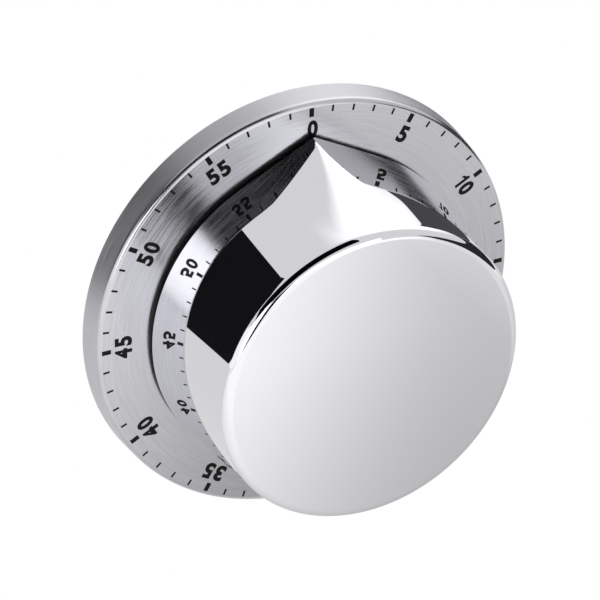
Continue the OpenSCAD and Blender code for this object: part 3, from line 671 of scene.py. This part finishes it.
for ring_name, width_name, length_name, chosen in (
    ("Ring", "Width", "Length", plain), ("Five ring", "Five width", "Five length", fifth),
):
    at_top = add_node(
        tick_tree, "ShaderNodeCombineXYZ",
        links={"Y": given.outputs["Level"], "Z": given.outputs[ring_name]},
    )
    on_ring = add_node(
        tick_tree, "ShaderNodeVectorRotate",
        links={"Vector": at_top.outputs[0], "Rotation": turn.outputs[0]}, rotation_type="EULER_XYZ",
    )
    moved = add_node(
        tick_tree, "GeometryNodeSetPosition",
        links={"Geometry": spots.outputs[0], "Position": on_ring.outputs[0]},
    )
    size = add_node(tick_tree, "ShaderNodeCombineXYZ", links={
        "X": given.outputs[width_name], "Y": given.outputs["Thickness"],
        "Z": given.outputs[length_name],
    })
    mark = add_node(tick_tree, "GeometryNodeMeshCube", links={"Size": size.outputs[0]})
    placed = add_node(tick_tree, "GeometryNodeInstanceOnPoints", links={
        "Points": moved.outputs[0], "Selection": chosen.outputs[0],
        "Instance": mark.outputs["Mesh"], "Rotation": turn.outputs[0],
    })
    tick_tree.links.new(placed.outputs[0], joined.inputs[0])
real = add_node(tick_tree, "GeometryNodeRealizeInstances", links={0: joined.outputs[0]})
inked = add_node(
    tick_tree, "GeometryNodeSetMaterial", {"Material": ink}, {"Geometry": real.outputs[0]}
)
add_node(tick_tree, "NodeGroupOutput", links={0: inked.outputs[0]})


def grown(name, node_tree, settings):
    """A plain mesh piece made once by a Geometry Nodes tree."""
    holder = bpy.data.objects.new(name, bpy.data.meshes.new(name + "_seed"))
    scene.collection.objects.link(holder)
    maker = holder.modifiers.new("maker", "NODES")
    maker.node_group = node_tree
    for identifier, value in settings.items():
        maker[identifier] = value
    bpy.context.view_layer.update()
    graph = bpy.context.evaluated_depsgraph_get()
    mesh = bpy.data.meshes.new_from_object(holder.evaluated_get(graph))
    holder.modifiers.remove(maker)
    holder.data = mesh
    return holder


ticks = grown("scale_ticks", tick_tree, {sockets[name]: value for name, value in sizes.items()})
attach(ticks, "case")

numeral_ring = 34.3 * mm
numeral_shift = 0.25 * mm
digit_h = 3.15 * mm
zero_w = 1.9 * mm
digit_gap = 0.42 * mm
font_size = 4.4 * mm
font_bold = 0.2 * mm
wider_four = 1.06
# Corners of the one, with its flag, in widths and heights of a digit.
flagged_one = [
    (0.50, 0.0), (0.78, 0.0), (0.78, 1.0), (0.57, 1.0),
    (0.44, 0.86), (0.18, 0.76), (0.18, 0.60), (0.50, 0.70),
]


def digit_shape(text):
    """Flat points and faces of one digit, with its lower left corner at zero."""
    if text == "1":
        shape = [Vector((x * zero_w, z * digit_h)) for x, z in flagged_one]
        return shape, [tuple(range(len(shape)))]
    letter = bpy.data.curves.new("digit", "FONT")
    letter.body = text
    letter.size = font_size
    letter.offset = font_bold
    holder = bpy.data.objects.new("digit", letter)
    scene.collection.objects.link(holder)
    bpy.context.view_layer.update()
    graph = bpy.context.evaluated_depsgraph_get()
    mesh = bpy.data.meshes.new_from_object(holder.evaluated_get(graph))
    bpy.data.objects.remove(holder)
    shape = [v.co.to_2d() for v in mesh.vertices]
    left, right = min(p.x for p in shape), max(p.x for p in shape)
    low, high = min(p.y for p in shape), max(p.y for p in shape)
    wide = zero_w * (wider_four if text == "4" else 1.0)
    shape = [
        Vector(((p.x - left) / (right - left) * wide, (p.y - low) / (high - low) * digit_h))
        for p in shape
    ]
    return shape, [tuple(f.vertices) for f in mesh.polygons]


for minute in range(0, minutes, numeral_step):
    a = math.radians(minute * minute_degrees)
    out = Vector((math.sin(a), 0, math.cos(a)))
    side = Vector((math.cos(a), 0, -math.sin(a)))
    points, faces, edge = [], [], 0
    for text in str(minute):
        shape, shape_faces = digit_shape(text)
        start = len(points)
        left, right = min(p.x for p in shape), max(p.x for p in shape)
        points += [Vector((p.x - left + edge, p.y)) for p in shape]
        faces += [tuple(start + i for i in f) for f in shape_faces]
        edge += right - left + digit_gap
    half = (edge - digit_gap) / 2
    numeral = new_piece(f"numeral_{minute}", [
        side * (p.x - half + numeral_shift) + out * (numeral_ring + p.y - digit_h / 2)
        + Vector((0, dial_face_y - ink_t, 0)) for p in points
    ], faces, ink)
    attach(numeral, "case")


# ---- Black plastic ----
# Rear cover moulded in black ABS and held by three screws, and the socket inside the knob.
# The mould is spark eroded, which leaves a fine even grain.

def node_skin(slot_name, material):
    """Gives the CAD nodes of one finish their material."""
    for part in frame["record"]["subparts"]:
        if part["material_slot"] == slot_name:
            slots = frame["nodes"][part["node"]].data.materials
            slots.clear()
            slots.append(material)


def textured(name, colour, other, metallic, rough, grain_size, bump_depth, stretch=(1, 1, 1)):
    """A material whose tone, sheen and relief all follow one grain of a real size."""
    material, tree, shader = surface(name, colour, metallic, sum(rough) / 2)
    place = add_node(tree, "ShaderNodeTexCoord")
    laid = add_node(
        tree, "ShaderNodeMapping", {"Scale": stretch}, {"Vector": place.outputs["Object"]}
    )
    grain = add_node(
        tree, "ShaderNodeTexNoise", {"Scale": 1 / grain_size, "Detail": 3},
        {"Vector": laid.outputs[0]},
    )
    tone = add_node(
        tree, "ShaderNodeMixRGB", {"Color1": linear(colour), "Color2": linear(other)},
        {"Fac": grain.outputs["Fac"]},
    )
    spread = add_node(
        tree, "ShaderNodeMapRange",
        {"From Min": 0.3, "From Max": 0.7, "To Min": rough[0], "To Max": rough[1]},
        {"Value": grain.outputs["Fac"]},
    )
    bump = add_node(
        tree, "ShaderNodeBump", {"Strength": 0.4, "Distance": bump_depth},
        {"Height": grain.outputs["Fac"]},
    )
    tree.links.new(tone.outputs[0], shader.inputs["Base Color"])
    tree.links.new(spread.outputs["Result"], shader.inputs["Roughness"])
    tree.links.new(bump.outputs["Normal"], shader.inputs["Normal"])
    return material


node_skin("black_abs", textured(
    "grained_black_abs", "#1b1b1d", "#232326", 0.0, (0.45, 0.6), 0.5 * mm, 0.03 * mm,
))


# ---- Magnet ----
# A sintered ferrite disc, ground flat, in the pocket of the rear cover with a steel keeper in
# front of it. Grinding leaves a dark, matt grey with faint scratches.

node_skin("ferrite", textured(
    "ground_ferrite", "#3a3a3d", "#4c4b4d", 0.2, (0.4, 0.62), 0.8 * mm, 0.01 * mm, (1, 1, 5),
))


# ---- White carrier ----
# Moulded in natural ABS, it holds the movement behind the dial.
# The mould's faces are polished, so it is smooth and a little warm in tone.

node_skin("white_abs", textured(
    "natural_white_abs", "#e2dfd4", "#ebe8df", 0.0, (0.3, 0.4), 2 * mm, 0.005 * mm,
))


# ---- Movement plates ----
# Two plates punched from rolled brass sheet and held apart by four pillars.
# The rolling leaves faint lines along the sheet.

node_skin("plate_brass", textured(
    "rolled_brass_sheet", "#c9a659", "#d9ba70", 1.0, (0.24, 0.4), 0.5 * mm, 0.004 * mm,
    (0.08, 1, 1),
))


# ---- Brass wheels and bushings ----
# Wheels, balance and strike star stamped from brass; bushings, bell post and hammer head turned.
# They are brighter than the plates and a little stained.

node_skin("brass", textured(
    "stamped_brass", "#cfa24c", "#deb766", 1.0, (0.2, 0.36), 1.2 * mm, 0.004 * mm,
))


# ---- Steel arbors, pinions and screws ----
# Turned, cut and stamped steel, zinc plated and passivated, with a bluish, slightly patchy shine.
# The three screws that hold the rear cover are blackened instead.

node_skin("zinc_steel", textured(
    "zinc_plated_steel", "#b9bdc4", "#c9ccd0", 1.0, (0.22, 0.38), 0.9 * mm, 0.004 * mm,
))
node_skin("screw_black", textured(
    "blackened_steel", "#2c2c2f", "#38383c", 1.0, (0.35, 0.5), 0.6 * mm, 0.004 * mm,
))


# ---- Mainspring ----
# A spiral of tempered steel strip round the main arbor, which drives the train.
# The strip is blued by heat, with fine lines from rolling.

node_skin("spring_steel", textured(
    "blued_spring_steel", "#4c5a78", "#66708a", 1.0, (0.18, 0.32), 0.4 * mm, 0.003 * mm, (1, 4, 1),
))


# ---- Bell ----
# Pressed from steel sheet and held on its post by a screw, where the hammer strikes it.
# It is nickel plated, so it is bright and slightly warm.

node_skin("bell_steel", textured(
    "nickel_plated_steel", "#c8c6c0", "#d4d2cc", 1.0, (0.1, 0.2), 3 * mm, 0.004 * mm,
))
